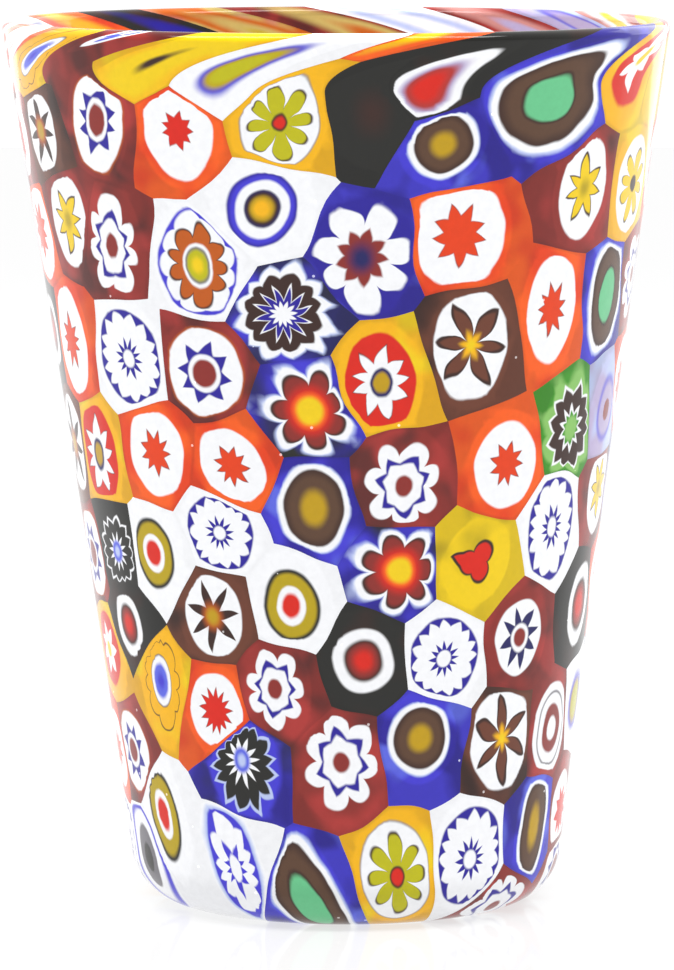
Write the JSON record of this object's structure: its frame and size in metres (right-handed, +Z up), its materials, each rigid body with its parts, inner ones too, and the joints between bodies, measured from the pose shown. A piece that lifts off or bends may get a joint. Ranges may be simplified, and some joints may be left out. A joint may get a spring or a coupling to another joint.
{
  "type": "tall murrine drinking glass",
  "caption": "Tall flared drinking glass of fused patterned murrine, with a rounded heel, thick flat foot, thin fire-polished lip and a small polished hollow underneath.",
  "frame": {"origin": "centre of the bounding box in plan, on the table under the foot; the middle of the rim stands over it", "axes": "+Z up out of the mouth, -Y towards the front, +X to the right seen from the front"},
  "size_m": [0.0797, 0.0796, 0.106],
  "materials": {
    "orange_glass": "polished opaque coloured glass",
    "white_glass": "polished opaque coloured glass",
    "dark_red_glass": "polished opaque coloured glass",
    "red_glass": "polished opaque coloured glass",
    "yellow_glass": "polished opaque coloured glass",
    "blue_glass": "polished opaque coloured glass",
    "brown_glass": "polished opaque coloured glass",
    "black_glass": "polished opaque coloured glass"
  },
  "bodies": {
    "root": {"murrine_course_1_arc_1": "yellow_glass", "murrine_course_1_arc_2": "orange_glass", "murrine_course_1_arc_3": "blue_glass", "murrine_course_1_arc_4": "white_glass", "murrine_course_1_arc_5": "dark_red_glass", "murrine_course_1_arc_6": "yellow_glass", "murrine_course_2_arc_1": "dark_red_glass", "murrine_course_2_arc_2": "yellow_glass", "murrine_course_2_arc_3": "red_glass", "murrine_course_2_arc_4": "blue_glass", "murrine_course_2_arc_5": "orange_glass", "murrine_course_2_arc_6": "white_glass", "murrine_course_3_arc_1": "dark_red_glass", "murrine_course_3_arc_2": "white_glass", "murrine_course_3_arc_3": "orange_glass", "murrine_course_3_arc_4": "brown_glass", "murrine_course_3_arc_5": "white_glass", "murrine_course_3_arc_6": "dark_red_glass", "murrine_course_4_arc_1": "white_glass", "murrine_course_4_arc_2": "blue_glass", "murrine_course_4_arc_3": "brown_glass", "murrine_course_4_arc_4": "orange_glass", "murrine_course_4_arc_5": "yellow_glass", "murrine_course_4_arc_6": "black_glass", "murrine_course_5_arc_1": "orange_glass", "murrine_course_5_arc_2": "dark_red_glass", "murrine_course_5_arc_3": "white_glass", "murrine_course_5_arc_4": "dark_red_glass", "murrine_course_5_arc_5": "blue_glass", "murrine_course_5_arc_6": "white_glass", "murrine_course_6_arc_1": "black_glass", "murrine_course_6_arc_2": "yellow_glass", "murrine_course_6_arc_3": "dark_red_glass", "murrine_course_6_arc_4": "white_glass", "murrine_course_6_arc_5": "orange_glass", "murrine_course_6_arc_6": "brown_glass", "murrine_course_7_arc_1": "brown_glass", "murrine_course_7_arc_2": "black_glass", "murrine_course_7_arc_3": "red_glass", "murrine_course_7_arc_4": "blue_glass", "murrine_course_7_arc_5": "white_glass", "murrine_course_7_arc_6": "yellow_glass", "murrine_course_8_arc_1": "white_glass", "murrine_course_8_arc_2": "blue_glass", "murrine_course_8_arc_3": "brown_glass", "murrine_course_8_arc_4": "dark_red_glass", "murrine_course_8_arc_5": "black_glass", "murrine_course_8_arc_6": "orange_glass", "murrine_course_9_arc_1": "blue_glass", "murrine_course_9_arc_2": "white_glass", "murrine_course_9_arc_3": "red_glass", "murrine_course_9_arc_4": "yellow_glass", "murrine_course_9_arc_5": "brown_glass", "murrine_course_9_arc_6": "dark_red_glass", "murrine_foot_arc_1": "white_glass", "murrine_foot_arc_2": "blue_glass", "murrine_foot_arc_3": "dark_red_glass", "murrine_foot_arc_4": "yellow_glass", "murrina_foot_centre": "orange_glass"}
  },
  "joints": []
}
